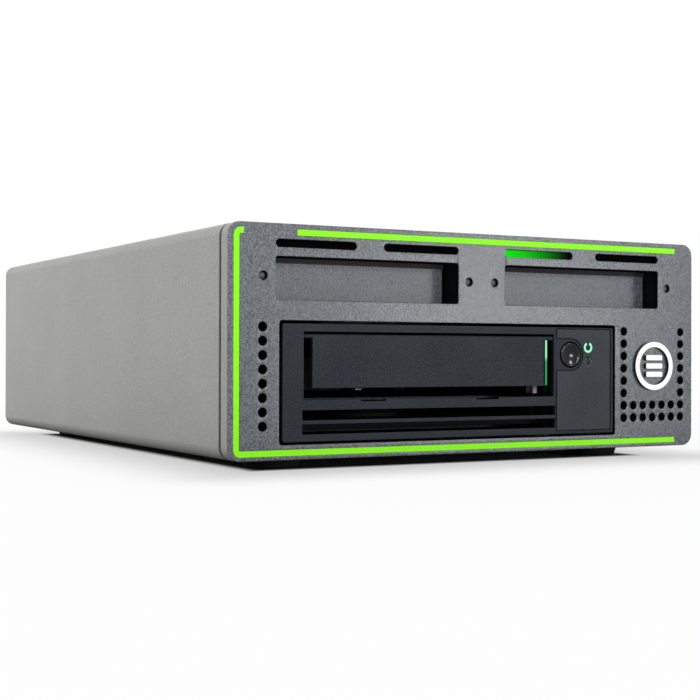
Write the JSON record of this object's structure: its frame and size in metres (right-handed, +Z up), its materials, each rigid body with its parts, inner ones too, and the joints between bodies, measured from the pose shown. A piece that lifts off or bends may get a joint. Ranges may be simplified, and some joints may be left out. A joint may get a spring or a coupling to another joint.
{
  "type": "data tape drive",
  "caption": "Desktop tape drive: rounded sheet case on low feet, grey front with lime outline, tape slot with inward door, eject button and small drive bays above.",
  "frame": {"origin": "middle of the unit's footprint, on the surface that its feet stand on", "axes": "+X right across the front, +Y from the front to the rear, +Z up"},
  "size_m": [0.2108, 0.2936, 0.088],
  "materials": {
    "sleeve_paint": "fine-textured satin powder coat",
    "panel_paint": "speckled satin powder coat",
    "black_sheet": "matt black",
    "lime_paint": "bright lime lacquer",
    "white_badge": "white face",
    "plated_sheet": "zinc plated",
    "steel_sheet": "bare steel",
    "black_rubber": "matt",
    "black_screw": "black oxide",
    "bright_screw": "bright zinc",
    "green_board": "solder mask",
    "smoked_guide": "smoked",
    "cast_alloy": "die cast",
    "bezel_plastic": "fine moulded texture",
    "gloss_button": "polished",
    "green_light": "glowing light guide",
    "white_light": "glowing light guide",
    "grey_plastic": "satin",
    "motor_steel": "plated",
    "reel_plastic": "glass filled",
    "steel_pin": "ground",
    "head_ceramic": "polished",
    "black_plastic": "satin",
    "black_alloy": "black anodised",
    "black_cable": "cable jacket"
  },
  "bodies": {
    "case": {"outer_sleeve": "sleeve_paint", "front_panel": "panel_paint", "front_frame": "black_sheet", "accent_stripe": "lime_paint", "front_badge": "white_badge", "chassis_tray": "plated_sheet", "rear_panel": "sleeve_paint", "rubber_feet": "black_rubber", "foot_screws": "black_screw", "case_screws": "bright_screw", "bay_screws": "bright_screw", "bay_cage_left": "black_sheet", "bay_cage_right": "black_sheet", "bay_blank_left": "panel_paint", "bay_blank_right": "panel_paint", "bay_backplanes": "green_board", "slot_light_guides": "smoked_guide", "indicator_board": "green_board", "drive_base": "cast_alloy", "drive_cover": "plated_sheet", "drive_bezel": "bezel_plastic", "bezel_side_cover": "bezel_plastic", "door_pin": "steel_pin", "front_board": "green_board", "icon_light_guides": "white_light", "supply_motor": "motor_steel", "reel_motor": "motor_steel", "tape_path_posts": "steel_pin", "drive_main_board": "green_board", "drive_connectors": "black_plastic", "drive_bracket_left": "plated_sheet", "drive_bracket_right": "plated_sheet", "drive_side_screws": "bright_screw", "power_supply": "plated_sheet", "mains_inlet": "black_plastic", "inlet_blades": "steel_pin", "switch_housing": "black_plastic", "fan_frame": "black_plastic", "rear_screws": "bright_screw", "interface_board": "green_board", "board_heat_sink": "black_alloy", "usb_ports": "steel_sheet", "storage_port": "steel_sheet", "inner_leads": "black_cable"},
    "door": {"cartridge_door": "bezel_plastic", "door_light_strip": "green_light"},
    "button": {"eject_button": "gloss_button"},
    "lever": {"cartridge_lever": "grey_plastic"},
    "loader": {"loader_frame": "steel_sheet"},
    "carrier": {"cartridge_carrier": "steel_sheet"},
    "clutch": {"supply_clutch": "grey_plastic"},
    "reel": {"take_up_reel": "reel_plastic"},
    "head": {"read_write_head": "head_ceramic"},
    "rocker": {"power_rocker": "black_plastic"},
    "fan": {"fan_rotor": "black_plastic"},
    "roller_1": {"guide_roller_1": "steel_pin"},
    "roller_2": {"guide_roller_2": "steel_pin"},
    "roller_3": {"guide_roller_3": "steel_pin"},
    "roller_4": {"guide_roller_4": "steel_pin"}
  },
  "joints": [
    {"name": "door_hinge", "type": "hinge", "parent": "case", "child": "door", "pos_m": [-0.02085, -0.1441, 0.04845], "axis": [1, 0, 0], "range_deg": [0, 88], "stiffness_Nm_per_rad": 0.0015, "springref_deg": -20.05},
    {"name": "button_press", "type": "slide", "parent": "case", "child": "button", "axis": [0, 1, 0], "range_m": [0, 0.0012], "stiffness_N_per_m": 800, "springref_m": -0.0004},
    {"name": "lever_swing", "type": "hinge", "parent": "case", "child": "lever", "pos_m": [0.03345, -0.13125, 0.0268], "axis": [0, 0, 1], "range_deg": [0, 27], "stiffness_Nm_per_rad": 0.001, "springref_deg": -11.46},
    {"name": "loader_draw", "type": "slide", "parent": "case", "child": "loader", "axis": [0, 1, 0], "range_m": [0, 0.012]},
    {"name": "carrier_lower", "type": "slide", "parent": "loader", "child": "carrier", "axis": [0, 0, -1], "range_m": [0, 0.0055]},
    {"name": "clutch_spin", "type": "hinge", "parent": "case", "child": "clutch", "pos_m": [-0.02085, -0.08225, 0.0191], "axis": [0, 0, 1], "continuous": true},
    {"name": "reel_spin", "type": "hinge", "parent": "case", "child": "reel", "pos_m": [-0.01045, 0.02575, 0.0237], "axis": [0, 0, 1], "continuous": true},
    {"name": "head_lift", "type": "slide", "parent": "case", "child": "head", "axis": [0, 0, 1], "range_m": [0, 0.003]},
    {"name": "rocker_tilt", "type": "hinge", "parent": "case", "child": "rocker", "pos_m": [0.08255, 0.14255, 0.0743], "axis": [0, 0, 1], "range_deg": [0, 14]},
    {"name": "fan_spin", "type": "hinge", "parent": "case", "child": "fan", "pos_m": [-0.06145, 0.12725, 0.0447], "axis": [0, 1, 0], "continuous": true},
    {"name": "roller_1_spin", "type": "hinge", "parent": "case", "child": "roller_1", "pos_m": [-0.05945, -0.01725, 0.0257], "axis": [0, 0, 1], "continuous": true},
    {"name": "roller_2_spin", "type": "hinge", "parent": "case", "child": "roller_2", "pos_m": [-0.03345, -0.01725, 0.0257], "axis": [0, 0, 1], "continuous": true},
    {"name": "roller_3_spin", "type": "hinge", "parent": "case", "child": "roller_3", "pos_m": [0.01655, -0.01725, 0.0257], "axis": [0, 0, 1], "continuous": true},
    {"name": "roller_4_spin", "type": "hinge", "parent": "case", "child": "roller_4", "pos_m": [0.04255, -0.01725, 0.0257], "axis": [0, 0, 1], "continuous": true}
  ]
}
